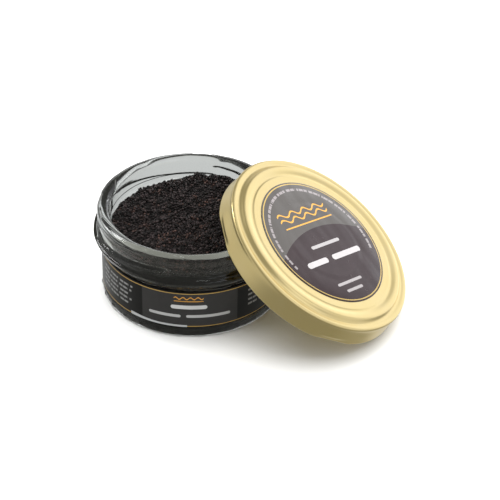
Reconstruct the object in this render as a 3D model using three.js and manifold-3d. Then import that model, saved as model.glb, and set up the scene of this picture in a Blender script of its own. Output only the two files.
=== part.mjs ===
// A low glass jar of imitation herring roe, open, with its screw lid leaning on the rim.
// Millimetres, +Z up. The origin is the middle of the jar's flat base; the viewer stands at -Y.
import * as THREE from "three";
import { mergeVertices } from "three/addons/utils/BufferGeometryUtils.js";
import Module from "manifold-3d";

const wasm = await Module();
wasm.setup();

const roundSteps = 60; // facets round the jar and the lid

// Jar, outside
const baseFlatRadius = 28.3;
const heelRadius = 30.2;
const heelTop = 3.7; // small ledge under the label
const labelPanelRadius = 30.0; // the glass is set back by the label's room
const labelPanelTop = 18.5;
const beadRadius = 32.6; // widest ring, under the threads
const beadCentre = 23.0;
const beadTop = 24.8; // its upper shoulder is short and steep
const neckRadius = 31.1;
const rimTubeRadius = 2.05; // the rim is a thick round bead
const rimOuterRadius = 31.3;
const rimCentre = 29.9;

// Jar, inside
const innerRadius = 27.0;
const floorTop = 3.8; // thick pressed base
const innerCorner = 3.5;

// Threads: four short right-hand lugs, which climb out of the bead, with a gap between each two
const lugCount = 4;
const lugFirstAngle = 40; // degrees from +X to the middle of the first lug
const lugHalfSpan = 38;
const lugRadius = 32.1;
const lugHalfHeight = 1.2;
const lugMiddle = 24.6;
const lugRise = 3.4; // from the low end to the high end
const lugSections = 10;

// Wrap label
const labelBottom = 3.9;
const labelTop = 18.3;
const labelInnerRadius = 30.05;
const labelOuterRadius = 30.2;

// Roe: level at the wall, with a heap that climbs towards the back right
const roeGap = 0.15; // left between the roe and the glass
const roeLevel = 23.7;
const roeDome = 0.8;
const roeRings = 23;
const roeGrain = 0.32; // height of one bump
const roeClump = 0.45; // height of a group of grains
const roeClumpSize = 4.5;
const roeHeaps = [
  { angle: 73, spread: 24, height: 2.2 },
  { angle: 89, spread: 5, height: 0.7 },
  { angle: 62, spread: 7, height: 0.6 },
];

// Lid: heights are measured from the label's plane, down being negative
const lidTilt = 33.2; // degrees from level
const lidHeading = -13.67; // degrees from +X, the way that the lid slopes down
const lidCentre = [42.69, -10.98, 25.9];
const lidSheet = 0.42; // the flat sheet, a little thicker than the real one
const panelDrop = 0.17;
const buttonRadius = 14.4;
const buttonRise = 0.25; // the safety button of the opened lid has sprung up
const panelRadius = 26.7;
const shoulderRadius = 34.27;
const curlOuterRadius = 34.64;
const curlTube = 0.6;
const lidDepth = 8.55;
const lidLabelRadius = 23.92;
const lidLabelSheet = 0.12;

// Lid lugs: the lower edge is pressed in at four places
const pressFirstAngle = 30; // degrees from the downhill side
const pressHalfSpan = 11;
const pressDepth = 0.9;
const pressTop = -5.2;
const lugTongue = 0.8; // the lug reaches further in than the outside is pressed

const radians = THREE.MathUtils.degToRad;

// Points along an arc about (r, z); angles in degrees, 0 outwards and 90 up.
function arc(r, z, radius, from, to, steps) {
  const points = [];
  for (let i = 0; i <= steps; i++) {
    const angle = radians(from + ((to - from) * i) / steps);
    points.push([r + radius * Math.cos(angle), z + radius * Math.sin(angle)]);
  }
  return points;
}

// Turns a profile of [radius, height] about +Z.
function turn(profile) {
  const points = profile.map(([r, z]) => new THREE.Vector2(r, z));
  return new THREE.LatheGeometry(points, roundSteps).rotateX(Math.PI / 2);
}

function solidFrom(geometry) {
  const bare = new THREE.BufferGeometry();
  bare.setAttribute("position", geometry.getAttribute("position"));
  bare.setIndex(geometry.index);
  const merged = mergeVertices(bare, 1e-4);
  return new wasm.Manifold(
    new wasm.Mesh({
      numProp: 3,
      vertProperties: new Float32Array(merged.attributes.position.array),
      triVerts: new Uint32Array(merged.index.array),
    }),
  );
}

function geometryFrom(solid) {
  const mesh = solid.getMesh();
  const geometry = new THREE.BufferGeometry();
  const positions = new THREE.BufferAttribute(mesh.vertProperties, 3);
  geometry.setAttribute("position", positions);
  geometry.setIndex(new THREE.BufferAttribute(mesh.triVerts, 1));
  return geometry;
}

function indexed(positions, faces) {
  const geometry = new THREE.BufferGeometry();
  geometry.setAttribute(
    "position",
    new THREE.Float32BufferAttribute(positions.flat(), 3),
  );
  geometry.setIndex(faces.flat());
  return geometry;
}

// The same numbers on every run, between -1 and 1, for a pair of whole numbers.
function scatter(a, b) {
  let h = Math.imul(a + 1013, 374761393) ^ Math.imul(b + 4057, 668265263);
  h = Math.imul(h ^ (h >>> 13), 1274126177);
  h ^= h >>> 16;
  return (h >>> 0) / 2147483648 - 1;
}

function smooth(t) {
  const clamped = Math.min(1, Math.max(0, t));
  return clamped * clamped * (3 - 2 * clamped);
}

// Smooth unevenness with the given spacing.
function unevenness(x, y, spacing) {
  const u = x / spacing;
  const v = y / spacing;
  const i = Math.floor(u);
  const j = Math.floor(v);
  const s = smooth(u - i);
  const t = smooth(v - j);
  const near = scatter(i, j) * (1 - s) + scatter(i + 1, j) * s;
  const far = scatter(i, j + 1) * (1 - s) + scatter(i + 1, j + 1) * s;
  return near * (1 - t) + far * t;
}

// Smallest turn from one angle to another, in degrees.
function turnBetween(a, b) {
  return Math.abs(((((a - b) % 360) + 540) % 360) - 180);
}

// Jar

function jarProfile() {
  const rimTubeCentre = rimOuterRadius - rimTubeRadius;
  return [
    [0, 0],
    [baseFlatRadius, 0],
    [29.35, 0.3],
    [29.95, 0.95],
    [heelRadius, 1.9],
    [heelRadius, heelTop - 0.15],
    [labelPanelRadius, heelTop],
    [labelPanelRadius, labelPanelTop],
    [30.35, 19.2],
    [31.3, 20.5],
    [32.25, 21.9],
    [beadRadius, beadCentre - 0.4],
    [beadRadius, beadCentre + 0.4],
    [32.15, 23.95],
    [31.5, 24.3],
    [neckRadius, beadTop],
    [neckRadius, rimCentre - 0.9],
    ...arc(rimTubeCentre, rimCentre, rimTubeRadius, 0, 180, 8),
    [innerRadius, rimCentre - 1.2],
    [innerRadius, floorTop + innerCorner],
    ...arc(innerRadius - innerCorner, floorTop + innerCorner, innerCorner, -22.5, -90, 3),
    [0, floorTop],
  ];
}

// One thread lug as a loft of sections that sink into the neck at both ends.
function threadLug(middleAngle) {
  const outline = [
    [0, 1.1],
    [0.5, 1],
    [0.88, 0.55],
    [1, 0],
    [0.88, -0.55],
    [0.5, -1],
    [0, -1.1],
  ];
  const root = neckRadius - 0.8;
  const positions = [];
  for (let i = 0; i <= lugSections; i++) {
    const t = i / lugSections;
    const angle = radians(middleAngle + lugHalfSpan * (2 * t - 1));
    const full = smooth(Math.min(t, 1 - t) * 6);
    const reach = 0.5 + (lugRadius - root - 0.5) * full;
    const middle = lugMiddle + lugRise * (t - 0.5);
    for (const [out, up] of outline) {
      const r = root + reach * out;
      const z = middle + up * lugHalfHeight * (0.55 + 0.45 * full);
      positions.push([r * Math.cos(angle), r * Math.sin(angle), z]);
    }
  }
  const n = outline.length;
  const faces = [];
  for (let i = 0; i < lugSections; i++) {
    for (let j = 0; j < n; j++) {
      const a = i * n + j;
      const b = i * n + ((j + 1) % n);
      faces.push([a, b, b + n], [a, b + n, a + n]);
    }
  }
  const last = lugSections * n;
  for (let j = 1; j < n - 1; j++) {
    faces.push([0, j + 1, j], [last, last + j, last + j + 1]);
  }
  return solidFrom(indexed(positions, faces));
}

function jarGeometry() {
  let jar = solidFrom(turn(jarProfile()));
  for (let i = 0; i < lugCount; i++) {
    jar = jar.add(threadLug(lugFirstAngle + (360 / lugCount) * i));
  }
  return geometryFrom(jar);
}

// Label round the body: a thin closed ring

function wrapLabelGeometry() {
  return turn([
    [labelInnerRadius, labelBottom],
    [labelOuterRadius, labelBottom],
    [labelOuterRadius, labelTop],
    [labelInnerRadius, labelTop],
    [labelInnerRadius, labelBottom],
  ]);
}

// Roe: a filled body with a bumpy top

function roeHeight(x, y, k, j) {
  const radius = Math.hypot(x, y);
  const share = radius / innerRadius;
  const angle = THREE.MathUtils.radToDeg(Math.atan2(y, x));
  let height = roeLevel + roeDome * (1 - share * share);
  for (const heap of roeHeaps) {
    const away = turnBetween(angle, heap.angle) / heap.spread;
    height += heap.height * Math.exp(-away * away) * share ** 3;
  }
  height += roeClump * unevenness(x, y, roeClumpSize);
  return height + roeGrain * scatter(k * 977, j);
}

function roeGeometry() {
  const outer = innerRadius - roeGap;
  const around = 6 * roeRings;
  const positions = [[0, 0, roeHeight(0, 0, 0, 0)]];
  const faces = [];
  const ringStart = (k) => (k === 0 ? 0 : 1 + 3 * k * (k - 1));
  for (let k = 1; k <= roeRings; k++) {
    const r = (outer * k) / roeRings;
    for (let j = 0; j < 6 * k; j++) {
      const angle = (2 * Math.PI * j) / (6 * k);
      const x = r * Math.cos(angle);
      const y = r * Math.sin(angle);
      positions.push([x, y, roeHeight(x, y, k, j)]);
    }
  }
  for (let k = 1; k <= roeRings; k++) {
    const inner = ringStart(k - 1);
    const innerCount = Math.max(1, 6 * (k - 1));
    const ring = ringStart(k);
    for (let side = 0; side < 6; side++) {
      for (let j = 0; j < k; j++) {
        const a = ring + side * k + j;
        const b = ring + ((side * k + j + 1) % (6 * k));
        const c = inner + ((side * (k - 1) + j) % innerCount);
        faces.push([a, b, c]);
        if (j < k - 1) {
          faces.push([b, inner + ((side * (k - 1) + j + 1) % innerCount), c]);
        }
      }
    }
  }
  let above = ringStart(roeRings);
  const corner = arc(
    innerRadius - innerCorner,
    floorTop + innerCorner,
    innerCorner - roeGap,
    0,
    -90,
    2,
  );
  for (const [r, z] of corner) {
    const start = positions.length;
    for (let j = 0; j < around; j++) {
      const angle = (2 * Math.PI * j) / around;
      positions.push([r * Math.cos(angle), r * Math.sin(angle), z]);
    }
    for (let j = 0; j < around; j++) {
      const next = (j + 1) % around;
      faces.push([above + j, start + j, start + next]);
      faces.push([above + j, start + next, above + next]);
    }
    above = start;
  }
  const centre = positions.length;
  positions.push([0, 0, floorTop + roeGap]);
  for (let j = 0; j < around; j++) {
    faces.push([above + j, centre, above + ((j + 1) % around)]);
  }
  return indexed(positions, faces);
}

// Lid, drawn level about its own axis and then leaned

// Outer face of the pressed sheet, from the shoulder in to the middle.
const lidFace = [
  [33.9, -0.95],
  [33.3, -0.76],
  [32.7, -0.95],
  [32.1, -1.15],
  [31.4, -0.85],
  [30.5, 0.05],
  [29.8, 0.3],
  [29.1, 0.2],
  [27.9, -0.45],
  [27.25, -0.45],
  [panelRadius, -panelDrop],
  [buttonRadius + 1, -panelDrop],
  [buttonRadius, buttonRise - panelDrop],
  [0, buttonRise - panelDrop],
];

function lidProfile() {
  const under = lidFace.filter(([r], i) => r <= panelRadius || i % 2 === 1);
  const tubeCentre = [curlOuterRadius - curlTube, curlTube - lidDepth];
  return [
    ...under.map(([r, z]) => [r, z - lidSheet]).reverse(),
    [33.6, -2.2],
    [33.9, -7.2],
    ...arc(...tubeCentre, curlTube, -225, 20, 5),
    [34.3, -5.6],
    [34.03, -2.4],
    [shoulderRadius - 0.02, -1.75],
    [shoulderRadius, -1.35],
    ...lidFace,
  ];
}

function lidGeometry() {
  const geometry = turn(lidProfile());
  const place = geometry.getAttribute("position");
  for (let i = 0; i < place.count; i++) {
    const x = place.getX(i);
    const y = place.getY(i);
    const z = place.getZ(i);
    if (z > pressTop) continue;
    const radius = Math.hypot(x, y);
    const angle = THREE.MathUtils.radToDeg(Math.atan2(y, x));
    const away = turnBetween(angle * 4, pressFirstAngle * 4) / 4;
    const across = smooth(1.25 - away / pressHalfSpan);
    const down = smooth((pressTop - z) / (lidDepth - 0.8 + pressTop));
    const inward = radius < curlOuterRadius - curlTube && z < -7.6 ? lugTongue : 0;
    const moved = radius - across * down * (pressDepth + inward);
    place.setXY(i, (x * moved) / radius, (y * moved) / radius);
  }
  return geometry;
}

function lidLabelGeometry() {
  const outer = lidLabelRadius;
  const low = -lidLabelSheet;
  return turn([
    [0, low + buttonRise],
    [buttonRadius, low + buttonRise],
    [buttonRadius + 1, low],
    [outer, low],
    [outer, 0],
    [buttonRadius + 1, 0],
    [buttonRadius, buttonRise],
    [0, buttonRise],
  ]);
}

// Assembly

function piece(name, geometry, settings) {
  const mesh = new THREE.Mesh(geometry, new THREE.MeshStandardMaterial(settings));
  mesh.name = name;
  return mesh;
}

const jarWithRoe = new THREE.Group();
const glassLook = { color: 0xd5dcd8, roughness: 0.05, transparent: true, opacity: 0.35 };
jarWithRoe.add(piece("glass_jar", jarGeometry(), glassLook));
jarWithRoe.add(piece("roe", roeGeometry(), { color: 0x241d1c, roughness: 0.35 }));
jarWithRoe.add(piece("body_label", wrapLabelGeometry(), { color: 0x222224, roughness: 0.4 }));

const leaningLid = new THREE.Group();
const goldLook = { color: 0xe3cd8c, metalness: 0.9, roughness: 0.35 };
leaningLid.add(piece("lid", lidGeometry(), goldLook));
leaningLid.add(piece("lid_label", lidLabelGeometry(), { color: 0x5a5254, roughness: 0.4 }));
leaningLid.rotation.set(0, radians(lidTilt), radians(lidHeading), "ZYX");
leaningLid.position.set(...lidCentre);

const jar = new THREE.Group();
jar.add(jarWithRoe, leaningLid);
export default jar;
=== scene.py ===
import math
import random

import bpy
import numpy as np
from mathutils import Matrix, Vector, noise


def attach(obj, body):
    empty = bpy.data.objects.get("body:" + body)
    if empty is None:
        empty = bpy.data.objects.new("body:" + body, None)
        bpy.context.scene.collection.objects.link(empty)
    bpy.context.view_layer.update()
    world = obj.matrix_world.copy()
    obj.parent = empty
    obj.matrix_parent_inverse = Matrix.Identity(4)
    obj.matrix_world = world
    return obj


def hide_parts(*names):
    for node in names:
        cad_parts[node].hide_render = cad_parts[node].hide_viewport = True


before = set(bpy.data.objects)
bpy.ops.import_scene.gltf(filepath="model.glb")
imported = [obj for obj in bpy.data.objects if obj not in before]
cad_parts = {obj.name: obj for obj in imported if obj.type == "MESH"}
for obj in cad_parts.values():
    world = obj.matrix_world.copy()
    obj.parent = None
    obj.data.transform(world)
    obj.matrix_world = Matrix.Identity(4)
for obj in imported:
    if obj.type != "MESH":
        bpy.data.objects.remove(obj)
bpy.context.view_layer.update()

mm = 0.001  # every piece is drawn in millimetres and made in metres
scene = bpy.context.scene


# Shared helpers

def rgb(hexColour):
    # sRGB hex to the linear colour that a shader takes
    parts = [int(hexColour[i:i + 2], 16) / 255 for i in (1, 3, 5)]
    return tuple(c / 12.92 if c <= 0.04045 else ((c + 0.055) / 1.055) ** 2.4 for c in parts) + (1.0,)


def addNode(tree, kind, settings=None, sockets=None):
    # settings are the node's own choices; sockets take a value or another node's output
    made = tree.nodes.new(kind)
    for name, value in (settings or {}).items():
        setattr(made, name, value)
    for name, value in (sockets or {}).items():
        if isinstance(value, bpy.types.NodeSocket):
            tree.links.new(value, made.inputs[name])
        else:
            made.inputs[name].default_value = value
    return made


def newMaterial(name):
    made = bpy.data.materials.new(name)
    made.use_nodes = True
    tree = made.node_tree
    return made, tree, tree.nodes["Principled BSDF"]


def deselectAll():
    if bpy.context.object and bpy.context.object.mode != "OBJECT":
        bpy.ops.object.mode_set(mode="OBJECT")
    bpy.ops.object.select_all(action="DESELECT")


def smoothLine(points, spacing):
    # a smooth line through all the points; a straight stretch stays one step
    points = [Vector(p) for p in points]
    ways = [(b - a).normalized() for a, b in zip(points, points[1:])]
    tangents = [ways[0]] + [(a + b).normalized() for a, b in zip(ways, ways[1:])] + [ways[-1]]
    line = [points[0]]
    for a, b, ta, tb in zip(points, points[1:], tangents, tangents[1:]):
        length = (b - a).length
        straight = ta.dot(tb) > 0.99995 and (b - a).normalized().dot(ta) > 0.99995
        steps = 1 if straight else max(1, math.ceil(length / spacing))
        for i in range(1, steps + 1):
            t = i / steps
            line.append(
                a * (2 * t ** 3 - 3 * t ** 2 + 1) + ta * length * (t ** 3 - 2 * t ** 2 + t)
                + b * (3 * t ** 2 - 2 * t ** 3) + tb * length * (t ** 3 - t ** 2)
            )
    return line


def arc(r, z, radius, start, end, steps):
    turns = [math.radians(start + (end - start) * i / steps) for i in range(steps + 1)]
    return [(r + radius * math.cos(a), z + radius * math.sin(a)) for a in turns]


def turnedPiece(name, outline, steps, closed=False):
    # a point is extruded along the outline and the line is spun round the axis
    deselectAll()
    bpy.ops.mesh.primitive_plane_add(size=mm)
    piece = bpy.context.object
    piece.name = name
    bpy.ops.object.mode_set(mode="EDIT")
    bpy.ops.mesh.select_all(action="SELECT")
    bpy.ops.mesh.merge(type="CENTER")
    start = Vector((outline[0][0], 0, outline[0][1])) * mm
    bpy.ops.transform.translate(value=start)
    for a, b in zip(outline, outline[1:]):
        step = Vector((b[0] - a[0], 0, b[1] - a[1])) * mm
        bpy.ops.mesh.extrude_region_move(TRANSFORM_OT_translate={"value": step})
    if closed:
        back = Vector((outline[0][0] - outline[-1][0], 0, outline[0][1] - outline[-1][1])) * mm
        bpy.ops.mesh.extrude_region_move(TRANSFORM_OT_translate={"value": back})
    bpy.ops.mesh.select_all(action="SELECT")
    bpy.ops.mesh.spin(steps=steps, angle=2 * math.pi, center=(0, 0, 0), axis=(0, 0, 1))
    bpy.ops.mesh.select_all(action="SELECT")
    bpy.ops.mesh.remove_doubles(threshold=0.0005 * mm)
    bpy.ops.mesh.normals_make_consistent(inside=False)
    bpy.ops.object.mode_set(mode="OBJECT")
    bpy.ops.object.shade_smooth()
    return piece


def readPoints(piece):
    flat = np.empty(len(piece.data.vertices) * 3)
    piece.data.vertices.foreach_get("co", flat)
    return flat.reshape(-1, 3) / mm


def writePoints(piece, points):
    piece.data.vertices.foreach_set("co", (points * mm).ravel())
    piece.data.update()


def dress(piece, material, node=None):
    piece.data.materials.clear()
    piece.data.materials.append(material)
    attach(piece, "root")
    if node:
        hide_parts(node)


def ease(t):
    t = np.clip(t, 0, 1)
    return t * t * (3 - 2 * t)


def turnBetween(a, b):
    return np.abs((a - b + 180) % 360 - 180)


def hills(x, y, size, level):
    # a smooth random field from -1 to 1, in hills of about that size; each use has a level of its own
    return noise.noise(Vector((x / size, y / size, level)))


# Camera: the photo's viewing angle

camera = {
    "elevation": 35.975,
    "roll": 1.433,
    "distance": 560,
    "target": (19.12, 2.195, 12.0),
    "focal": 1672.35,  # in pixels of a 500 pixel frame
    "frame": 500,
    "sensor": 36,
}


def makeCamera():
    el, roll = math.radians(camera["elevation"]), math.radians(camera["roll"])
    back = Vector((0, -math.cos(el), math.sin(el)))
    right = Vector((1, 0, 0))
    up = back.cross(right)
    sideways = right * math.cos(roll) + up * math.sin(roll)
    upwards = up * math.cos(roll) - right * math.sin(roll)
    data = bpy.data.cameras.new("camera")
    data.sensor_width = camera["sensor"]
    data.lens = camera["focal"] / camera["frame"] * camera["sensor"]
    data.clip_start = 0.01
    data.clip_end = 20
    made = bpy.data.objects.new("camera", data)
    scene.collection.objects.link(made)
    place = (Vector(camera["target"]) + back * camera["distance"]) * mm
    turn = Matrix((sideways, upwards, back)).transposed().to_4x4()
    made.matrix_world = Matrix.Translation(place) @ turn
    scene.camera = made


makeCamera()
print("camera ready")


# Glass jar: pressed soda-lime glass, with four slanting thread lugs on the neck

jar = {
    "tone": "#e6e9e7",
    "steps": 240,
    "spacing": 0.34,  # of the points along the outline
    "outside": 29,  # what lies further out belongs to the outer wall
    "heelRadius": 30.2,
    "beadLow": 19.5,
    "beadHigh": 24.2,
    "neckFrom": (30.4, 23),  # radius and height
    "rimLow": 28.2,
    "rimCentre": (29.25, 29.9),
    "rimTube": 2.05,
    "innerRadius": 27.0,
    "corner": 3.5,  # rounding between the inner wall and the floor
    "floorTop": 3.8,
    "neckRadius": 31.1,
    "lugCount": 4,
    "lugFirst": 2,  # where the first one starts, in degrees
    "lugSpan": 78,
    "lugEnds": (0.16, 0.07),  # shares of the span in which it swells and dies away
    "lugProud": 1.0,
    "lugLow": 23.95,
    "lugRise": 3.4,
    "lugRound": (0.35, 0.75),  # how far over that height its slope ends, and the slope's own height
    "dentDepth": 0.22,
    "dentSize": (9, 2),  # length and height
    "rimWaves": (0.16, 6),  # rise and fall, and length
    "rimBulges": (0.14, 5),  # in and out, and length
    "dots": 28,  # pressed round the heel
    "dotHeight": 1.7,
    "dotSize": 0.6,
    "dotProud": 0.3,
    "waveDepth": 0.6,
    "foldDepth": 1.2,
}


def jarOutline():
    outside = [
        # base and heel
        (0, 0), (28.2, 0), (28.5, 0), (29.2, 0.05), (29.72, 0.3), (30.03, 0.75), (30.18, 1.35),
        (jar["heelRadius"], 2.0), (jar["heelRadius"], 3.3), (30.13, 3.58), (30.02, 3.75),
        # the straight part behind the label
        (30.0, 4.1), (30.0, 4.4), (30.0, 17.6), (30.0, 17.9), (30.06, 18.55), (30.4, 19.25),
        # ring bead
        (31.3, 20.5), (32.2, 21.8), (32.55, 22.65), (32.6, 23.2), (32.48, 23.6), (32.15, 23.9), (31.5, 24.18),
        # neck
        (31.18, 24.55), (jar["neckRadius"], 25.1), (jar["neckRadius"], 28.9),
    ]
    rim = arc(*jar["rimCentre"], jar["rimTube"], 0, 180, 14)
    wall, floor = jar["innerRadius"], jar["floorTop"]
    low = floor + jar["corner"]
    inside = [(wall + 0.04, 28.9), (wall, 28.1), (wall, 27.8), (wall, low + 0.6)]
    corner = arc(wall - jar["corner"], low, jar["corner"], 0, -90, 6)
    return smoothLine(outside + rim + inside + corner + [(22.6, floor), (0, floor)], jar["spacing"])


def raiseLugs(piece):
    # the lugs are pressed in one with the neck: each lifts the bead's upper shoulder in a slow climb
    points = readPoints(piece)
    x, y, z = points.T
    radius = np.hypot(x, y)
    angle = np.degrees(np.arctan2(y, x))
    moved = radius.copy()
    swells, dies = jar["lugEnds"]
    over, soft = jar["lugRound"]
    neckRadius, neckHeight = jar["neckFrom"]
    for i in range(jar["lugCount"]):
        start = jar["lugFirst"] + 360 / jar["lugCount"] * i
        along = ((angle - start) % 360) / jar["lugSpan"]
        upper = jar["lugLow"] + jar["lugRise"] * ease(along)
        full = ease(along / swells) * ease((1 - along) / dies) * ease((upper + over - z) / soft)
        reach = jar["neckRadius"] - 0.1 + (jar["lugProud"] + 0.1) * full
        onNeck = (along < 1) & (radius > neckRadius) & (z > neckHeight)
        moved = np.where(onNeck, np.maximum(moved, reach), moved)
    # the bead isn't quite even: it has long shallow dents
    belt = ease((z - jar["beadLow"]) / 1.5) * ease((jar["beadHigh"] - z) / 0.8) * (radius > jar["outside"])
    long, high = jar["dentSize"]
    dents = [noise.noise(Vector((px / long, py / long, pz / high))) for px, py, pz in points]
    moved += belt * jar["dentDepth"] * np.array(dents)
    # nor is the rim, which rises and falls a little and bulges in and out
    crown = ease((z - jar["rimLow"]) / 1.6)
    rise, long = jar["rimWaves"]
    z = z + crown * rise * np.array([hills(px, py, long, 4.2) for px, py, pz in points])
    bulge, long = jar["rimBulges"]
    moved += crown * bulge * np.array([hills(px, py, long, 9.6) for px, py, pz in points])
    scale = moved / np.maximum(radius, 1e-6)
    writePoints(piece, np.stack([x * scale, y * scale, z], 1))


def pressDots(piece):
    # a ring of small knobs on the heel, which keeps hot glass off the belt
    points = readPoints(piece)
    x, y, z = points.T
    radius = np.hypot(x, y)
    pitch = 360 / jar["dots"]
    angle = (np.degrees(np.arctan2(y, x)) % pitch) - pitch / 2
    away = np.hypot(np.radians(angle) * jar["heelRadius"], z - jar["dotHeight"]) / jar["dotSize"]
    scale = 1 + np.where(radius > jar["outside"], jar["dotProud"] * ease(1.6 - away) / jar["heelRadius"], 0)
    writePoints(piece, np.stack([x * scale, y * scale, z], 1))


def glassMaterial():
    # clear soda-lime glass, pressed and fire polished: it shines and bends what is behind it
    made, tree, shader = newMaterial("fire polished soda-lime glass")
    shader.inputs["Base Color"].default_value = rgb(jar["tone"])
    shader.inputs["Transmission Weight"].default_value = 1.0
    shader.inputs["IOR"].default_value = 1.52
    shader.inputs["Roughness"].default_value = 0.0
    place = addNode(tree, "ShaderNodeTexCoord").outputs["Object"]
    height = addNode(tree, "ShaderNodeSeparateXYZ", {}, {0: place}).outputs["Z"]
    # faint waves, about 9 mm long, from the mould
    waves = addNode(tree, "ShaderNodeTexNoise", {}, {"Vector": place, "Scale": 110.0, "Detail": 1.0})
    relief = addNode(tree, "ShaderNodeBump", {},
                     {"Height": waves.outputs["Fac"], "Strength": 0.08, "Distance": jar["waveDepth"] * mm})
    # level flow lines, 2 to 3 mm apart, where the glass folded into the bead
    level = addNode(tree, "ShaderNodeMapping", {}, {"Vector": place, "Scale": (60, 60, 380)})
    flow = addNode(tree, "ShaderNodeTexNoise", {}, {"Vector": level.outputs[0], "Scale": 1.0, "Detail": 2.0})
    bead = addNode(tree, "ShaderNodeMapRange", {"interpolation_type": "SMOOTHSTEP"},
                   {"Value": height, "From Min": 24.0 * mm, "From Max": 23.0 * mm}).outputs[0]
    depth = addNode(tree, "ShaderNodeMath", {"operation": "MULTIPLY"}, {0: flow.outputs["Fac"], 1: bead})
    folds = addNode(tree, "ShaderNodeBump", {},
                    {"Height": depth.outputs[0], "Strength": 0.5, "Distance": jar["foldDepth"] * mm,
                     "Normal": relief.outputs["Normal"]})
    tree.links.new(folds.outputs["Normal"], shader.inputs["Normal"])
    return made


glassJar = turnedPiece("jar_glass", jarOutline(), jar["steps"])
raiseLugs(glassJar)
pressDots(glassJar)
dress(glassJar, glassMaterial(), "glass_jar")
print("glass jar ready")


# Roe: a core of packed eggs that reaches just into the glass, with loose eggs of about 0.8 mm over it

roe = {
    "wall": 27.06,  # 0.06 mm into the glass, as at the corner and the floor
    "corner": 3.56,
    "floor": 3.74,
    "level": 23.7,  # of the surface at the wall
    "dome": 0.8,  # how much higher its middle is
    "heaps": [(73, 24, 2.2), (89, 5, 0.7), (62, 7, 0.6)],  # angle, spread in degrees, height
    "clump": 0.72,
    "clumpSize": 4.5,
    "crumb": 0.75,
    "crumbSize": 1.7,
    "coreSink": 0.2,  # how far the core's top lies below the surface
    "knob": 0.3,  # packed eggs on the core
    "knobSize": 0.55,
    "ringGap": 0.4,
    "steps": 400,
    "eggPitch": 0.8,
    "eggRadius": 0.43,
    "eggSizes": (0.8, 1.12),
    "eggShift": 0.24,
    "eggRise": (-0.2, 0.16),
    "layers": ((0, -0.12, 1.0), (1, 0.28, 0.62)),  # number, height, share of places that are filled
    "groupSize": 2.3,  # of the loose groups in the upper layer
    "patchSize": 5,
    "brownShare": 0.3,  # of the eggs inside a brown patch
    # darkest and lightest egg; painted shade: the core is darkest and the packed eggs darker than the loose
    # ones, as the gaps and lower layers lie in shade
    "coreTones": ("#060505", "#1a1515"),
    "packedTones": ("#080606", "#2e2727"),
    "looseTones": ("#0b0808", "#3f3636"),
    "brownTones": ("#1a1210", "#54403a"),
    "coreRoughness": 0.5,
    "eggRoughness": 0.3,
}


def roeHeight(x, y):
    radius = math.hypot(x, y)
    share = radius / jar["innerRadius"]
    angle = math.degrees(math.atan2(y, x))
    height = roe["level"] + roe["dome"] * (1 - share * share)
    for middle, spread, high in roe["heaps"]:
        away = float(turnBetween(angle, middle)) / spread
        height += high * math.exp(-away * away) * share ** 3
    height += roe["clump"] * hills(x, y, roe["clumpSize"], 3.7)
    height += roe["crumb"] * hills(x, y, roe["crumbSize"], 8.1)
    return height


def makeRoeCore():
    wall, level = roe["wall"], roe["level"]
    low = roe["floor"] + roe["corner"]
    wallRows = 14
    outline = [(0, roe["floor"])]
    outline += arc(wall - roe["corner"], low, roe["corner"], -90, 0, 6)
    outline += [(wall, low + (level - low) * i / wallRows) for i in range(1, wallRows + 1)]
    rings = round(wall / roe["ringGap"])
    outline += [(wall * i / rings, level) for i in range(rings - 1, -1, -1)]
    piece = turnedPiece("roe_core", outline, roe["steps"])
    points = readPoints(piece)
    for point in points:
        x, y, z = point
        top = roeHeight(x, y) - roe["coreSink"]
        if z > level - 0.01:
            # packed eggs show as knobs of about 1 mm
            point[2] = top + roe["knob"] * hills(x, y, roe["knobSize"], 1.3)
        elif z > low:
            point[2] = low + (z - low) * (top - low) / (level - low)
    writePoints(piece, points)
    return piece


def makeEgg():
    # one egg, a little longer than wide, from a ball of few faces
    deselectAll()
    bpy.ops.mesh.primitive_uv_sphere_add(segments=6, ring_count=4, radius=1)
    egg = bpy.context.object
    bpy.ops.object.mode_set(mode="EDIT")
    bpy.ops.mesh.select_all(action="SELECT")
    bpy.ops.transform.resize(value=(1.0, 0.92, 0.86))
    bpy.ops.mesh.quads_convert_to_tris()
    bpy.ops.object.mode_set(mode="OBJECT")
    corners = np.array([v.co[:] for v in egg.data.vertices])
    faces = np.array([p.vertices[:] for p in egg.data.polygons])
    bpy.data.objects.remove(egg)
    return corners, faces


def randomTurn(chance):
    # a random turn as a matrix
    x, y, z = (chance.uniform(-1, 1) for i in range(3))
    axis = Vector((x, y, z + 0.01)).normalized()
    return np.array(Matrix.Rotation(chance.uniform(0, 2 * math.pi), 3, axis))


def joinEggs(name, places, egg, chance):
    # places are x, y, z and radius; each egg carries its own tone as an attribute
    corners, faces = egg
    points = np.empty((len(places), len(corners), 3))
    tones = np.empty(len(places))
    for i, (x, y, z, radius) in enumerate(places):
        points[i] = corners @ randomTurn(chance).T * radius + (x, y, z)
        tones[i] = chance.random()
    allFaces = (faces[None] + (np.arange(len(places)) * len(corners))[:, None, None]).reshape(-1, 3)
    mesh = bpy.data.meshes.new(name)
    mesh.from_pydata((points.reshape(-1, 3) * mm).tolist(), [], allFaces.tolist())
    tone = mesh.attributes.new("tone", "FLOAT", "POINT")
    tone.data.foreach_set("value", np.repeat(tones, len(corners)))
    mesh.shade_smooth()
    piece = bpy.data.objects.new(name, mesh)
    scene.collection.objects.link(piece)
    return piece


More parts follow.
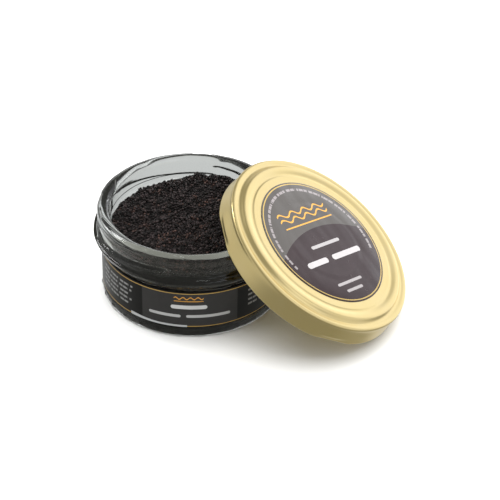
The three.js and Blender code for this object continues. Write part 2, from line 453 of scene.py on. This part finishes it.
def scatterEggs(chance):
    # two uneven layers on a triangular grid; in brown patches some eggs of both layers are brown
    base, top, brown = [], [], []
    pitch, shift = roe["eggPitch"], roe["eggShift"]
    reach = jar["innerRadius"]
    rowGap = 0.866  # of a pitch, on a triangular grid
    rows = int(reach / pitch / rowGap) + 1
    for layer, lift, keep in roe["layers"]:
        for row in range(-rows, rows + 1):
            for column in range(-rows - 4, rows + 5):
                x = (column + 0.5 * (row % 2) + 0.5 * layer) * pitch + chance.uniform(-shift, shift)
                y = (row + 0.33 * layer) * pitch * rowGap + chance.uniform(-shift, shift)
                size = roe["eggRadius"] * chance.uniform(*roe["eggSizes"])
                rise = lift + chance.uniform(*roe["eggRise"])
                kept = chance.random() < keep
                colour = chance.random()
                if math.hypot(x, y) > reach - size * 0.8 or not kept:
                    continue
                # the upper layer lies in loose groups, with gaps between them
                if layer and hills(x, y, roe["groupSize"], 5.5) < -0.12:
                    continue
                spot = (x, y, roeHeight(x, y) + rise, size)
                isBrown = hills(x, y, roe["patchSize"], 2.9) > 0.12 and colour < roe["brownShare"]
                (brown if isBrown else top if layer else base).append(spot)
    return base, top, brown


def roeMaterial(name, tones, roughness):
    # wet salted fish roe, dyed black: each egg is a small glossy bead, near black with a brown-grey cast
    made, tree, shader = newMaterial(name)
    place = addNode(tree, "ShaderNodeTexCoord")
    tone = addNode(tree, "ShaderNodeAttribute", {"attribute_name": "tone"})
    # few eggs are light, and each is blotched at about 1 mm
    spread = addNode(tree, "ShaderNodeMath", {"operation": "POWER"}, {0: tone.outputs["Fac"], 1: 1.8})
    blotch = addNode(tree, "ShaderNodeTexNoise", {},
                     {"Vector": place.outputs["Object"], "Scale": 900.0, "Detail": 2.0})
    both = addNode(tree, "ShaderNodeMath", {"operation": "MULTIPLY", "use_clamp": True},
                   {0: spread.outputs[0], 1: blotch.outputs["Fac"]})
    doubled = addNode(tree, "ShaderNodeMath", {"operation": "MULTIPLY", "use_clamp": True},
                      {0: both.outputs[0], 1: 2.0})
    colour = addNode(tree, "ShaderNodeMix", {"data_type": "RGBA"},
                     {"Factor": doubled.outputs[0], 6: rgb(tones[0]), 7: rgb(tones[1])})
    tree.links.new(colour.outputs[2], shader.inputs["Base Color"])
    shader.inputs["Roughness"].default_value = roughness
    shader.inputs["IOR"].default_value = 1.38
    return made


egg = makeEgg()
chance = random.Random(7)
roeCore = makeRoeCore()
dress(roeCore, roeMaterial("packed black roe", roe["coreTones"], roe["coreRoughness"]), "roe")
packedEggs, looseEggs, brownEggs = scatterEggs(chance)
for name, places, tones in (
    ("roe_eggs_packed", packedEggs, roe["packedTones"]),
    ("roe_eggs_loose", looseEggs, roe["looseTones"]),
    ("roe_eggs_brown", brownEggs, roe["brownTones"]),
):
    piece = joinEggs(name, places, egg, chance)
    dress(piece, roeMaterial(name.replace("_", " "), tones, roe["eggRoughness"]), "roe")
    print(name, len(places), "eggs")


# Wrap label: a satin black film printed in grey, white and gold

wrapLabel = {
    "inner": 30.03,
    "outer": 30.2,
    "bottom": 3.9,
    "top": 18.3,
    "steps": 192,
    "groundTones": ("#070708", "#121112"),
    "roughness": (0.26, 0.38),
    "panel": (-15.8, 16.3, 4.75, 17.33),  # from, to, low edge, high edge
    "panelTone": "#302f2f",
    "rules": ((17.36, 17.66), (4.42, 4.7)),  # lowest and highest edge
    "ruleTone": "#a88a4c",
    "wave": (-4.8, 4.8, 15.75, 2.4, 0.4, 0.38),  # from, to, height of the middle, pitch, rise, thickness
    "underline": (-4.8, 4.8, 14.55, 0.28),
    "goldTone": "#c58f3c",
    # from, to, height of the middle, thickness, colour
    "bars": (
        (-5.8, 6.0, 12.2, 1.5, "#b4b4b4"),
        (-13.3, -2.6, 8.6, 1.1, "#a2a2a2"), (-0.8, 13.7, 8.6, 1.1, "#a2a2a2"),
    ),
    # from, to, height of the middle
    "rows": (
        (-36, -20.5, 15.1), (-36.5, -19.2, 13.3), (-36, -21, 11.5), (-36.5, -20.2, 9.7), (-36, -22, 7.9),
        (20.3, 34, 14.8), (20.3, 36, 12.9), (20.3, 35, 11.0), (20.3, 31, 9.2),
    ),
    "rowHeight": 0.75,
    "rowTone": "#7c7c7c",
    # painted highlight: a pale wedge along the film's low edge, where it catches the light
    "edgeHighlight": (-20.5, -0.5, 4.25, 5.4, 5.0),  # from, to, low edge, upper edge at the ends and in the middle
    "edgeHighlightTone": "#a9abac",
    "peelDepth": 0.05,
}

# small print as rows of bars, with wider gaps where words end
smallPrint = {"barPitch": 2.05, "wordPitch": 5.3, "filled": 0.86, "shift": 0.9}


def boxMask(tree, across, up, x0, x1, y0, y1):
    # 1 inside the box, 0 outside
    inX = addNode(tree, "ShaderNodeMath", {"operation": "COMPARE"},
                  {0: across, 1: (x0 + x1) / 2, 2: (x1 - x0) / 2}).outputs[0]
    inY = addNode(tree, "ShaderNodeMath", {"operation": "COMPARE"},
                  {0: up, 1: (y0 + y1) / 2, 2: (y1 - y0) / 2}).outputs[0]
    return addNode(tree, "ShaderNodeMath", {"operation": "MULTIPLY"}, {0: inX, 1: inY}).outputs[0]


def rowMask(tree, across, up, x0, y, count, pitch, share, height):
    # a row of equal bars
    moved = addNode(tree, "ShaderNodeMath", {"operation": "MULTIPLY_ADD"},
                    {0: across, 1: 1 / pitch, 2: -x0 / pitch}).outputs[0]
    part = addNode(tree, "ShaderNodeMath", {"operation": "FRACT"}, {0: moved}).outputs[0]
    bar = addNode(tree, "ShaderNodeMath", {"operation": "COMPARE"}, {0: part, 1: 0.5, 2: share / 2}).outputs[0]
    box = boxMask(tree, across, up, x0, x0 + count * pitch, y - height / 2, y + height / 2)
    return addNode(tree, "ShaderNodeMath", {"operation": "MULTIPLY"}, {0: bar, 1: box}).outputs[0]


def wordMask(tree, across, up, x0, x1, y, height):
    # a line of bars of uneven length, like small print seen from a step away
    bar, word, filled = smallPrint["barPitch"], smallPrint["wordPitch"], smallPrint["filled"]
    bars = rowMask(tree, across, up, x0, y, round((x1 - x0) / bar), bar, filled, height)
    start = x0 - smallPrint["shift"]
    words = rowMask(tree, across, up, start, y, round((x1 - x0) / word) + 1, word, filled, height * 2)
    return addNode(tree, "ShaderNodeMath", {"operation": "MULTIPLY"}, {0: bars, 1: words}).outputs[0]


def roundBar(tree, across, up, x0, x1, y, height):
    # one bar with round ends
    half = max((x1 - x0 - height) / 2, 0)
    side = addNode(tree, "ShaderNodeMath", {"operation": "SUBTRACT"}, {0: across, 1: (x0 + x1) / 2}).outputs[0]
    side = addNode(tree, "ShaderNodeMath", {"operation": "ABSOLUTE"}, {0: side}).outputs[0]
    past = addNode(tree, "ShaderNodeMath", {"operation": "SUBTRACT"}, {0: side, 1: half}).outputs[0]
    past = addNode(tree, "ShaderNodeMath", {"operation": "MAXIMUM"}, {0: past, 1: 0.0}).outputs[0]
    off = addNode(tree, "ShaderNodeMath", {"operation": "SUBTRACT"}, {0: up, 1: y}).outputs[0]
    spot = addNode(tree, "ShaderNodeCombineXYZ", {}, {0: past, 1: off}).outputs[0]
    away = addNode(tree, "ShaderNodeVectorMath", {"operation": "LENGTH"}, {0: spot}).outputs["Value"]
    return addNode(tree, "ShaderNodeMath", {"operation": "LESS_THAN"}, {0: away, 1: height / 2}).outputs[0]


def waveMask(tree, across, up, x0, x1, y, pitch, rise, thick):
    # a wavy line of even thickness
    turn = addNode(tree, "ShaderNodeMath", {"operation": "MULTIPLY_ADD"},
                   {0: across, 1: 2 * math.pi / pitch, 2: -2 * math.pi * x0 / pitch}).outputs[0]
    swing = addNode(tree, "ShaderNodeMath", {"operation": "SINE"}, {0: turn}).outputs[0]
    line = addNode(tree, "ShaderNodeMath", {"operation": "MULTIPLY_ADD"}, {0: swing, 1: rise, 2: y}).outputs[0]
    near = addNode(tree, "ShaderNodeMath", {"operation": "COMPARE"}, {0: up, 1: line, 2: thick / 2}).outputs[0]
    box = boxMask(tree, across, up, x0, x1, y - rise - thick, y + rise + thick)
    return addNode(tree, "ShaderNodeMath", {"operation": "MULTIPLY"}, {0: near, 1: box}).outputs[0]


def wedgeMask(tree, across, up, x0, x1, y0, y1, y2):
    # low edge level at y0; the upper edge climbs from y1 at x0 to y2 in the middle and ends square at x1
    box = boxMask(tree, across, up, x0, x1, y0, max(y1, y2))
    climb = addNode(tree, "ShaderNodeMapRange", {"interpolation_type": "SMOOTHSTEP"},
                    {"Value": across, "From Min": x0, "From Max": (x0 + x1) / 2, "To Min": y1, "To Max": y2})
    under = addNode(tree, "ShaderNodeMath", {"operation": "LESS_THAN"}, {0: up, 1: climb.outputs[0]}).outputs[0]
    return addNode(tree, "ShaderNodeMath", {"operation": "MULTIPLY"}, {0: box, 1: under}).outputs[0]


def printed(tree, ground, layers):
    # every layer is a mask and the tone that is printed where the mask is 1, one over the other
    for mask, tone in layers:
        mixed = addNode(tree, "ShaderNodeMix", {"data_type": "RGBA"}, {"Factor": mask, 6: ground, 7: rgb(tone)})
        ground = mixed.outputs[2]
    return ground


def filmMaterial():
    # thin polymer film with a satin varnish over black print: fine orange peel and a soft shine
    made, tree, shader = newMaterial("printed satin film")
    place = addNode(tree, "ShaderNodeUVMap", {"uv_map": "print"})
    parts = addNode(tree, "ShaderNodeSeparateXYZ", {}, {0: place.outputs[0]})
    # the map holds tenths of a metre so that a value stays under one; back to millimetres here
    across = addNode(tree, "ShaderNodeMath", {"operation": "MULTIPLY"}, {0: parts.outputs[0], 1: 100}).outputs[0]
    up = addNode(tree, "ShaderNodeMath", {"operation": "MULTIPLY"}, {0: parts.outputs[1], 1: 100}).outputs[0]
    grain = addNode(tree, "ShaderNodeTexCoord").outputs["Object"]
    mottle = addNode(tree, "ShaderNodeTexNoise", {}, {"Vector": grain, "Scale": 260.0, "Detail": 3.0})
    mottle = mottle.outputs["Fac"]
    darker, lighter = wrapLabel["groundTones"]
    ground = addNode(tree, "ShaderNodeMix", {"data_type": "RGBA"},
                     {"Factor": mottle, 6: rgb(darker), 7: rgb(lighter)}).outputs[2]
    layers = [(boxMask(tree, across, up, *wrapLabel["panel"]), wrapLabel["panelTone"])]
    halfWay = math.pi * wrapLabel["outer"] + 0.1  # from the front to the back, along the film
    for low, high in wrapLabel["rules"]:
        layers.append((boxMask(tree, across, up, -halfWay, halfWay, low, high), wrapLabel["ruleTone"]))
    layers.append((waveMask(tree, across, up, *wrapLabel["wave"]), wrapLabel["goldTone"]))
    layers.append((roundBar(tree, across, up, *wrapLabel["underline"]), wrapLabel["goldTone"]))
    for x0, x1, y, high, tone in wrapLabel["bars"]:
        layers.append((roundBar(tree, across, up, x0, x1, y, high), tone))
    for x0, x1, y in wrapLabel["rows"]:
        layers.append((wordMask(tree, across, up, x0, x1, y, wrapLabel["rowHeight"]), wrapLabel["rowTone"]))
    # along the low edge a painted highlight: a pale wedge that stands in for the light caught along the film's
    # edge
    layers.append((wedgeMask(tree, across, up, *wrapLabel["edgeHighlight"]), wrapLabel["edgeHighlightTone"]))
    tree.links.new(printed(tree, ground, layers), shader.inputs["Base Color"])
    low, high = wrapLabel["roughness"]
    satin = addNode(tree, "ShaderNodeMapRange", {}, {"Value": mottle, "To Min": low, "To Max": high}).outputs[0]
    tree.links.new(satin, shader.inputs["Roughness"])
    shader.inputs["IOR"].default_value = 1.5
    shader.inputs["Specular IOR Level"].default_value = 0.24
    # orange peel about 0.8 mm across, twice as coarse as the real one, so that it shows
    peel = addNode(tree, "ShaderNodeTexNoise", {}, {"Vector": grain, "Scale": 1250.0, "Detail": 1.0})
    relief = addNode(tree, "ShaderNodeBump", {},
                     {"Height": peel.outputs["Fac"], "Strength": 0.12, "Distance": wrapLabel["peelDepth"] * mm})
    tree.links.new(relief.outputs["Normal"], shader.inputs["Normal"])
    return made


def addPrintMap(piece, coordinate):
    # the coordinate of a corner may depend on the middle of its face, so that no face spans the seam
    layer = piece.data.uv_layers.new(name="print")
    points = readPoints(piece)
    for face in piece.data.polygons:
        middle = points[list(face.vertices)].mean(0)
        for loop in face.loop_indices:
            spot = points[piece.data.loops[loop].vertex_index]
            layer.data[loop].uv = coordinate(spot, middle)


def roundTheJar(spot, middle):
    # along the film from the front centre, and height, both in tenths of a metre
    front = -90
    home = math.degrees(math.atan2(middle[1], middle[0]))
    turn = (home - front + 180) % 360 - 180
    own = math.degrees(math.atan2(spot[1], spot[0]))
    turn += (own - home + 180) % 360 - 180
    return math.radians(turn) * wrapLabel["outer"] / 100, spot[2] / 100


outline = [
    (wrapLabel["inner"], wrapLabel["bottom"]),
    (wrapLabel["outer"], wrapLabel["bottom"] + 0.02),
    (wrapLabel["outer"], wrapLabel["top"] - 0.02),
    (wrapLabel["inner"], wrapLabel["top"]),
]
film = turnedPiece("wrap_label", outline, wrapLabel["steps"], closed=True)
bpy.ops.object.shade_smooth_by_angle(angle=math.radians(40))
addPrintMap(film, roundTheJar)
dress(film, filmMaterial(), "body_label")
print("wrap label ready")


# Lid: stamped tinplate with a satin gold lacquer, leaning on the rim

lid = {
    "tones": ("#f0d997", "#f5e1aa"),
    "roughness": (0.27, 0.32),
    "waveDepth": 0.1,
    "steps": 240,
    "tilt": 33.2,
    "heading": -13.67,
    "centre": (42.69, -10.98, 25.9),
    "sheet": 0.42,
    "spacing": 0.3,  # of the points along the outline
    "curl": (34.04, -7.95),  # middle of the rolled edge
    "curlTube": 0.6,
    "curlTop": -7.4,
    "pressFirst": 30,  # direction of the first pressed-in stretch, of four
    "pressHalfSpan": 11,
    "pressDepth": 0.7,
    "pressTop": -6.3,
    "pressHeight": 1.45,  # in which the press reaches its full depth
    "tongue": 0.8,  # how much further the inside of the rolled edge goes
}

# radius and height from the edge to the middle
lidFace = [
    # outer ring and the groove inside it
    (34.27, -1.55), (34.2, -1.24), (33.9, -0.97), (33.3, -0.86), (32.7, -0.92), (32.1, -1.03),
    # inner ring and its slope
    (31.6, -0.95), (31.2, -0.68), (30.65, -0.12), (30.3, 0.07), (29.8, 0.13), (29.1, 0.08), (28.4, -0.08),
    (27.9, -0.23), (27.3, -0.34), (26.9, -0.27), (26.6, -0.17),
    # flat panel and the raised safety button
    (26.1, -0.17), (15.9, -0.17), (15.4, -0.15), (14.9, -0.04), (14.4, 0.07), (13.9, 0.08), (0, 0.08),
]


def leanTheLid(piece):
    deselectAll()
    piece.select_set(True)
    bpy.context.view_layer.objects.active = piece
    piece.rotation_euler = (0, math.radians(lid["tilt"]), math.radians(lid["heading"]))
    piece.location = Vector(lid["centre"]) * mm
    bpy.ops.object.transform_apply(location=True, rotation=True, scale=True)


def lidOutline():
    face = smoothLine(lidFace, lid["spacing"])
    under = [(r, z - lid["sheet"]) for r, z in face if r < 33.5]
    skirt = smoothLine([(33.5, -1.5), (33.62, -2.4), (33.9, -6.9), (33.6, -7.4)], 0.5)
    curl = arc(*lid["curl"], lid["curlTube"], -215, 20, 12)
    outside = [(34.52, -7.3), (34.42, -6.6), (34.3, -5.6), (34.05, -2.6), (34.12, -2.1), (34.27, -1.75)]
    outside = smoothLine(outside + [face[0]], 0.4)
    return [tuple(p) for p in under[::-1] + skirt + curl + outside[:-1] + face]


def pressLugs(piece):
    # four stretches of the edge are pressed in to hold the jar's thread
    points = readPoints(piece)
    x, y, z = points.T
    radius = np.hypot(x, y)
    angle = np.degrees(np.arctan2(y, x))
    away = turnBetween(angle * 4, lid["pressFirst"] * 4) / 4
    across = ease(1.25 - away / lid["pressHalfSpan"])
    down = ease((lid["pressTop"] - z) / lid["pressHeight"])
    inward = np.where((radius < lid["curl"][0]) & (z < lid["curlTop"]), lid["tongue"], 0)
    moved = radius - across * down * (lid["pressDepth"] + inward)
    scale = moved / np.maximum(radius, 1e-6)
    writePoints(piece, np.stack([x * scale, y * scale, z], 1))


def lacquerMaterial():
    # tinplate under a clear gold lacquer, rolled and then stamped: a soft satin shine with fine rolling lines
    made, tree, shader = newMaterial("gold lacquered tinplate")
    place = addNode(tree, "ShaderNodeTexCoord").outputs["Object"]
    # rolling lines run along the sheet; they are drawn about 0.5 mm apart, coarser than real, to show at all
    along = addNode(tree, "ShaderNodeMapping", {}, {"Vector": place, "Scale": (1900, 60, 1900)}).outputs[0]
    lines = addNode(tree, "ShaderNodeTexNoise", {}, {"Vector": along, "Scale": 1.0, "Detail": 2.0})
    cloud = addNode(tree, "ShaderNodeTexNoise", {}, {"Vector": place, "Scale": 130.0, "Detail": 3.0})
    cloud = cloud.outputs["Fac"]
    deeper, paler = lid["tones"]
    tone = addNode(tree, "ShaderNodeMix", {"data_type": "RGBA"},
                   {"Factor": cloud, 6: rgb(deeper), 7: rgb(paler)}).outputs[2]
    tree.links.new(tone, shader.inputs["Base Color"])
    shader.inputs["Metallic"].default_value = 1.0
    mixed = addNode(tree, "ShaderNodeMath", {"operation": "MULTIPLY"}, {0: lines.outputs["Fac"], 1: cloud})
    low, high = lid["roughness"]
    satin = addNode(tree, "ShaderNodeMapRange", {},
                    {"Value": mixed.outputs[0], "From Max": 0.5, "To Min": low, "To Max": high})
    tree.links.new(satin.outputs[0], shader.inputs["Roughness"])
    # the stamping leaves the sheet a little wavy, about 9 mm from crest to crest
    waves = addNode(tree, "ShaderNodeTexNoise", {}, {"Vector": place, "Scale": 110.0, "Detail": 0.0})
    relief = addNode(tree, "ShaderNodeBump", {},
                     {"Height": waves.outputs["Fac"], "Strength": 0.5, "Distance": lid["waveDepth"] * mm})
    tree.links.new(relief.outputs["Normal"], shader.inputs["Normal"])
    return made


lidPiece = turnedPiece("lid_shell", lidOutline(), lid["steps"])
pressLugs(lidPiece)
leanTheLid(lidPiece)
dress(lidPiece, lacquerMaterial(), "lid")
print("lid ready")


# Lid label: a round satin label that follows the step of the safety button

lidLabel = {
    "radius": 23.92,
    "sheet": 0.12,
    "steps": 192,
    "printTurn": 29,
    "groundTones": ("#342c2e", "#403739"),
    "roughness": (0.22, 0.3),
    # painted reflection: the field above the arch is lighter, as where the varnish mirrors a bright part of the
    # room
    "paintedReflectionTone": "#565351",  # of the field above the arch
    "archCentre": (0.9, -38.1, 0),
    "archRadius": 43.4,
    "ring": (23.2, 0.2),  # radius, half its width
    "ringTone": "#b39a5e",
    "rowRadius": 20.9,  # of the small print that goes round
    "rows": ((-8.4, 65.6), (-65.6, -58.8)),  # from and to, along that circle
    "rowHeight": 0.95,
    "rowTone": "#8f898a",
    # from, to, height of the middle, pitch, rise, thickness
    "waves": ((-12.6, 12.6, 12.6, 6.3, 0.8, 0.62), (-12.6, 12.6, 10.4, 6.3, 0.8, 0.62)),
    "underline": (-12.6, 12.6, 7.7, 0.5),
    "goldTone": "#cf9c4a",
    "creaseDepth": 0.35,
    # from, to, height of the middle, thickness, colour
    "bars": (
        (-7.8, 7.4, -1.2, 1.2, "#a8a4a5"),
        (-14.8, -4.2, -6.6, 2.0, "#b9b5b6"), (-1.6, 14.0, -6.6, 2.0, "#b9b5b6"),
        (-8.0, 5.0, -16.1, 1.0, "#9e999a"), (-5.8, 2.8, -19.0, 1.0, "#9e999a"),
    ),
}


def overTheLid(spot, middle):
    # along and across the print, whose direction is turned on the lid
    turn = math.radians(lidLabel["printTurn"])
    along = spot[1] * math.cos(turn) + spot[0] * math.sin(turn)
    up = spot[1] * math.sin(turn) - spot[0] * math.cos(turn)
    return along / 100 + 0.5, up / 100 + 0.5


def labelMaterial():
    # paper printed in dark grey under a satin varnish: a clear soft reflection over a few soft creases, and a
    # painted reflection that lightens the field above an arch
    made, tree, shader = newMaterial("printed satin paper")
    place = addNode(tree, "ShaderNodeUVMap", {"uv_map": "print"})
    # the map holds tenths of a metre, with the middle at one half; back to millimetres here
    centred = addNode(tree, "ShaderNodeMapping", {},
                      {"Vector": place.outputs[0], "Location": (-50, -50, 0), "Scale": (100, 100, 1)})
    centred = centred.outputs[0]
    parts = addNode(tree, "ShaderNodeSeparateXYZ", {}, {0: centred})
    across, up = parts.outputs[0], parts.outputs[1]
    radius = addNode(tree, "ShaderNodeVectorMath", {"operation": "LENGTH"}, {0: centred}).outputs["Value"]
    angle = addNode(tree, "ShaderNodeMath", {"operation": "ARCTAN2"}, {0: up, 1: across}).outputs[0]
    grain = addNode(tree, "ShaderNodeTexCoord").outputs["Object"]
    mottle = addNode(tree, "ShaderNodeTexNoise", {}, {"Vector": grain, "Scale": 240.0, "Detail": 3.0})
    mottle = mottle.outputs["Fac"]
    darker, lighter = lidLabel["groundTones"]
    ground = addNode(tree, "ShaderNodeMix", {"data_type": "RGBA"},
                     {"Factor": mottle, 6: rgb(darker), 7: rgb(lighter)}).outputs[2]
    # painted reflection: the upper field is lighter, as where the varnish mirrors a bright part of the room, and
    # a wide arch parts the two
    fromArch = addNode(tree, "ShaderNodeVectorMath", {"operation": "DISTANCE"},
                       {0: centred, 1: lidLabel["archCentre"]}).outputs["Value"]
    paintedReflectionField = addNode(tree, "ShaderNodeMath", {"operation": "GREATER_THAN"},
                    {0: fromArch, 1: lidLabel["archRadius"]}).outputs[0]
    middle, half = lidLabel["ring"]
    ring = addNode(tree, "ShaderNodeMath", {"operation": "COMPARE"}, {0: radius, 1: middle, 2: half}).outputs[0]
    layers = [(paintedReflectionField, lidLabel["paintedReflectionTone"]), (ring, lidLabel["ringTone"])]
    rowRadius = lidLabel["rowRadius"]
    around = addNode(tree, "ShaderNodeMath", {"operation": "MULTIPLY"}, {0: angle, 1: rowRadius}).outputs[0]
    for x0, x1 in lidLabel["rows"]:
        row = wordMask(tree, around, radius, x0, x1, rowRadius, lidLabel["rowHeight"])
        layers.append((row, lidLabel["rowTone"]))
    for wave in lidLabel["waves"]:
        layers.append((waveMask(tree, across, up, *wave), lidLabel["goldTone"]))
    layers.append((roundBar(tree, across, up, *lidLabel["underline"]), lidLabel["goldTone"]))
    for x0, x1, y, high, tone in lidLabel["bars"]:
        layers.append((roundBar(tree, across, up, x0, x1, y, high), tone))
    tree.links.new(printed(tree, ground, layers), shader.inputs["Base Color"])
    low, high = lidLabel["roughness"]
    satin = addNode(tree, "ShaderNodeMapRange", {}, {"Value": mottle, "To Min": low, "To Max": high}).outputs[0]
    tree.links.new(satin, shader.inputs["Roughness"])
    shader.inputs["IOR"].default_value = 1.5
    shader.inputs["Specular IOR Level"].default_value = 0.25
    # soft creases, which run up and down the print, 5 to 8 mm apart
    folds = addNode(tree, "ShaderNodeMapping", {}, {"Vector": place.outputs[0], "Scale": (24, 6, 1)})
    crease = addNode(tree, "ShaderNodeTexNoise", {}, {"Vector": folds.outputs[0], "Scale": 1.0, "Detail": 0.0})
    crease = crease.outputs["Fac"]
    relief = addNode(tree, "ShaderNodeBump", {},
                     {"Height": crease, "Strength": 1.0, "Distance": lidLabel["creaseDepth"] * mm})
    tree.links.new(relief.outputs["Normal"], shader.inputs["Normal"])
    return made


# printed side first, then the side that is glued to the lid
outline = [
    (0, 0.25), (13.6, 0.25), (13.9, 0.24), (14.4, 0.19), (14.9, 0.12), (15.4, 0.05), (15.9, 0.01), (16.3, 0),
    (lidLabel["radius"] - 0.06, 0), (lidLabel["radius"], -0.05), (lidLabel["radius"], -lidLabel["sheet"]),
    (15.9, -lidLabel["sheet"]), (15.4, -0.1), (14.9, 0.01), (14.4, 0.12), (13.9, 0.13), (0, 0.13),
]
paper = turnedPiece("lid_label_disc", outline, lidLabel["steps"])
addPrintMap(paper, overTheLid)
leanTheLid(paper)
dress(paper, labelMaterial(), "lid_label")
print("lid label ready")


# Studio: a pale floor, two lamps, and a room whose walls glow softly like lit white cards

studio = {
    "floorColour": "#f6f6f6",
    "shadeColour": "#fbfbee",
    "glowColour": "#fbfcff",
    "room": 0.36,
    # way towards the glow, half angle of its even part, half angle where it ends, strength
    "glows": [
        ((0.70, 0.68, 0.05), 27, 33, 0.84),
        ((0.95, -0.22, 0.18), 18, 34, 0.45),
        ((0.52, -0.53, 0.67), 12, 26, 0.85),
        ((0.55, 0.32, 0.77), 12, 28, 0.55),
        ((-0.95, 0.05, -0.12), 30, 48, 0.24),
        ((0.05, 0.88, -0.46), 38, 54, 0.42),
        ((-0.25, -0.72, -0.64), 34, 58, -0.07),
    ],
    # name, place, aim, size, power, seen in reflections
    "lamps": [
        ("light_top", (0.05, 0.22, 0.93), (0.02, 0, 0.02), (1.5, 1.5), 26.5, False),
        ("light_strip", (-0.55, 0.35, 0.5), (0, 0, 0.02), (0.16, 0.5), 1.4, True),
    ],
}


def makeFloor():
    deselectAll()
    bpy.ops.mesh.primitive_plane_add(size=4, location=(0, 0, 0))
    floor = bpy.context.object
    floor.name = "floor"
    made, tree, shader = newMaterial("pale floor")
    shader.inputs["Base Color"].default_value = rgb(studio["floorColour"])
    shader.inputs["Roughness"].default_value = 0.9
    floor.data.materials.append(made)
    # the lower half of the room stands in for it in reflections and behind the glass
    floor.visible_glossy = False
    floor.visible_transmission = False


def softLight(name, place, target, size, power, seen):
    data = bpy.data.lights.new(name, "AREA")
    data.shape = "RECTANGLE"
    data.size, data.size_y = size
    data.energy = power
    made = bpy.data.objects.new(name, data)
    scene.collection.objects.link(made)
    way = Vector(place) - Vector(target)
    made.location = place
    made.rotation_euler = way.to_track_quat("Z", "Y").to_euler()
    made.visible_glossy = seen


def makeWorld():
    # neutral where a lamp or a card glows, and a little warm in the darker parts
    world = bpy.data.worlds.new("studio")
    world.use_nodes = True
    tree = world.node_tree
    way = addNode(tree, "ShaderNodeTexCoord").outputs["Generated"]
    light = studio["room"]
    for towards, inner, outer, strength in studio["glows"]:
        facing = addNode(tree, "ShaderNodeVectorMath", {"operation": "DOT_PRODUCT"},
                         {0: way, 1: Vector(towards).normalized()}).outputs["Value"]
        edge, full = math.cos(math.radians(outer)), math.cos(math.radians(inner))
        glow = addNode(tree, "ShaderNodeMapRange", {"interpolation_type": "SMOOTHSTEP"},
                       {"Value": facing, "From Min": edge, "From Max": full, "To Min": 0.0, "To Max": strength})
        light = addNode(tree, "ShaderNodeMath", {"operation": "ADD"}, {0: light, 1: glow.outputs[0]}).outputs[0]
    lit = addNode(tree, "ShaderNodeMapRange", {}, {"Value": light, "From Min": 0.3, "From Max": 0.9}).outputs[0]
    colour = addNode(tree, "ShaderNodeMix", {"data_type": "RGBA"},
                     {"Factor": lit, 6: rgb(studio["shadeColour"]), 7: rgb(studio["glowColour"])})
    background = tree.nodes["Background"]
    tree.links.new(colour.outputs[2], background.inputs["Color"])
    tree.links.new(light, background.inputs["Strength"])
    scene.world = world


makeFloor()
makeWorld()
for lamp in studio["lamps"]:
    softLight(*lamp)
scene.view_settings.view_transform = "Standard"
# enough for light to pass all the walls of the jar and the lid behind them
scene.cycles.transmission_bounces = 16
scene.cycles.max_bounces = 24
scene.cycles.transparent_max_bounces = 16
print("studio ready")
